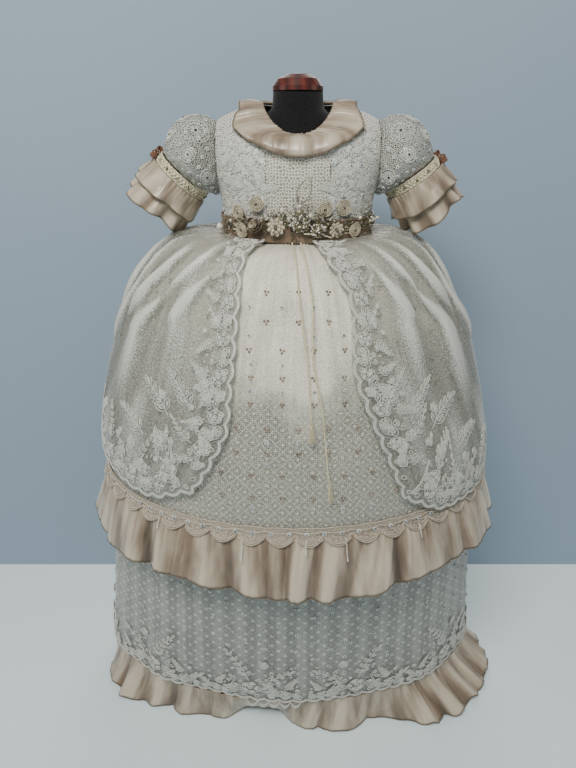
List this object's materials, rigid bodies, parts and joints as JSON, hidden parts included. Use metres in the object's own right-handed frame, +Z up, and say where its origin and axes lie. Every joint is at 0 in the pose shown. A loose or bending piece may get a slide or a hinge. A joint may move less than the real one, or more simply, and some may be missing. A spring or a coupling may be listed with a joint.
{
  "type": "christening gown on a limbless dress form",
  "caption": "Long puff-sleeved baby gown with lace bodice, beaded belt, open overskirt, two skirt tiers and satin ruffles, worn by a small limbless dress form on a stand.",
  "frame": {"origin": "centre of the dress form's base, on the surface it stands on", "axes": "+Z up, the gown's front faces -Y, +X to the right of someone who looks at the front"},
  "size_m": [0.6376, 0.377, 0.8824],
  "materials": {
    "ivory_lace": "corded net lace over satin",
    "guipure_lace": "heavy corded guipure lace",
    "white_lace": "white corded lace",
    "silver_lace": "net lace with sequins over grey lining tone",
    "tulle": "sheer glossy tulle",
    "champagne_satin": "soft sheen satin",
    "cream_braid": "corded braid",
    "brown_satin": "satin ribbon",
    "pearl": "pearl lustre",
    "form_jersey": "matt black jersey",
    "cherry_wood": "varnished",
    "black_enamel": "enamelled"
  },
  "bodies": {
    "root": {"belt_band": "brown_satin", "belt_cord_long": "cream_braid", "belt_cord_short": "cream_braid", "belt_cream_flower": "ivory_lace", "belt_ivory_flower": "ivory_lace", "belt_loop_cord": "white_lace", "belt_pearl_left": "pearl", "belt_pearl_spray_lower": "pearl", "belt_pearl_spray_middle": "pearl", "belt_pearl_spray_right": "pearl", "belt_rosette_left_lower": "cream_braid", "belt_rosette_left_outer": "cream_braid", "belt_rosette_left_upper": "cream_braid", "belt_rosette_right_inner": "cream_braid", "belt_rosette_right_lower": "cream_braid", "belt_rosette_right_outer": "cream_braid", "belt_satin_rose": "brown_satin", "belt_tassel_long": "cream_braid", "belt_tassel_short": "cream_braid", "bodice_back_left": "guipure_lace", "bodice_back_right": "guipure_lace", "bodice_centre_front": "ivory_lace", "bodice_side_front_left": "guipure_lace", "bodice_side_front_right": "guipure_lace", "cuff_band_left": "cream_braid", "cuff_band_right": "cream_braid", "cuff_ruffle_lower_left": "champagne_satin", "cuff_ruffle_lower_right": "champagne_satin", "cuff_ruffle_upper_left": "champagne_satin", "cuff_ruffle_upper_right": "champagne_satin", "form_base": "black_enamel", "form_neck_cap": "cherry_wood", "form_pole": "black_enamel", "form_torso": "form_jersey", "lower_hem_lace": "white_lace", "lower_ruffle": "champagne_satin", "lower_skirt_back": "silver_lace", "lower_skirt_front": "silver_lace", "neck_ruffle": "champagne_satin", "overskirt_edging_left": "white_lace", "overskirt_edging_right": "white_lace", "overskirt_left": "tulle", "overskirt_right": "tulle", "sleeve_bow_left": "brown_satin", "sleeve_bow_right": "brown_satin", "sleeve_left": "white_lace", "sleeve_right": "white_lace", "upper_hem_lace": "white_lace", "upper_ruffle": "champagne_satin", "upper_skirt_back": "ivory_lace", "upper_skirt_front": "ivory_lace"}
  },
  "joints": []
}
